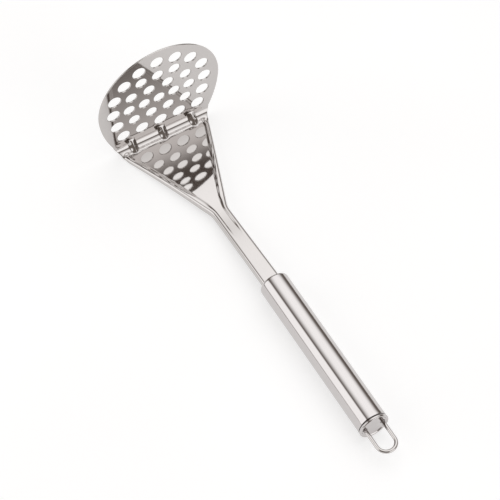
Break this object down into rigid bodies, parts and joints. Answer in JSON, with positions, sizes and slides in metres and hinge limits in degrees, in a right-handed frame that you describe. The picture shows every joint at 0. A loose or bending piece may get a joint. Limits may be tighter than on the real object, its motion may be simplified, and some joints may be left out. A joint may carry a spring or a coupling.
{
  "type": "potato ricer",
  "caption": "Hand masher with a round perforated plate standing square to a fan-shaped neck, a slim shaft, a round tube handle and a wire hanging loop.",
  "frame": {"origin": "bottom centre of the bounding box, with the tool lying on its back", "axes": "+Y runs along the handle towards the mashing plate, whose mashing face looks along +Y; +Z is the way the plate stands up; X runs across the plate"},
  "size_m": [0.0846, 0.2744, 0.0815],
  "materials": {
    "polished_stainless": "mirror-polished pressed stainless steel, softer on the shaft",
    "handle_stainless": "polished drawn stainless steel tube",
    "plain_stainless": "turned stainless steel, left plain",
    "wire_stainless": "polished round stainless steel wire"
  },
  "bodies": {
    "root": {"masher_head": "polished_stainless", "handle_tube": "handle_stainless", "mouth_plug": "plain_stainless", "end_cap": "handle_stainless", "hanging_loop": "wire_stainless"}
  },
  "joints": []
}
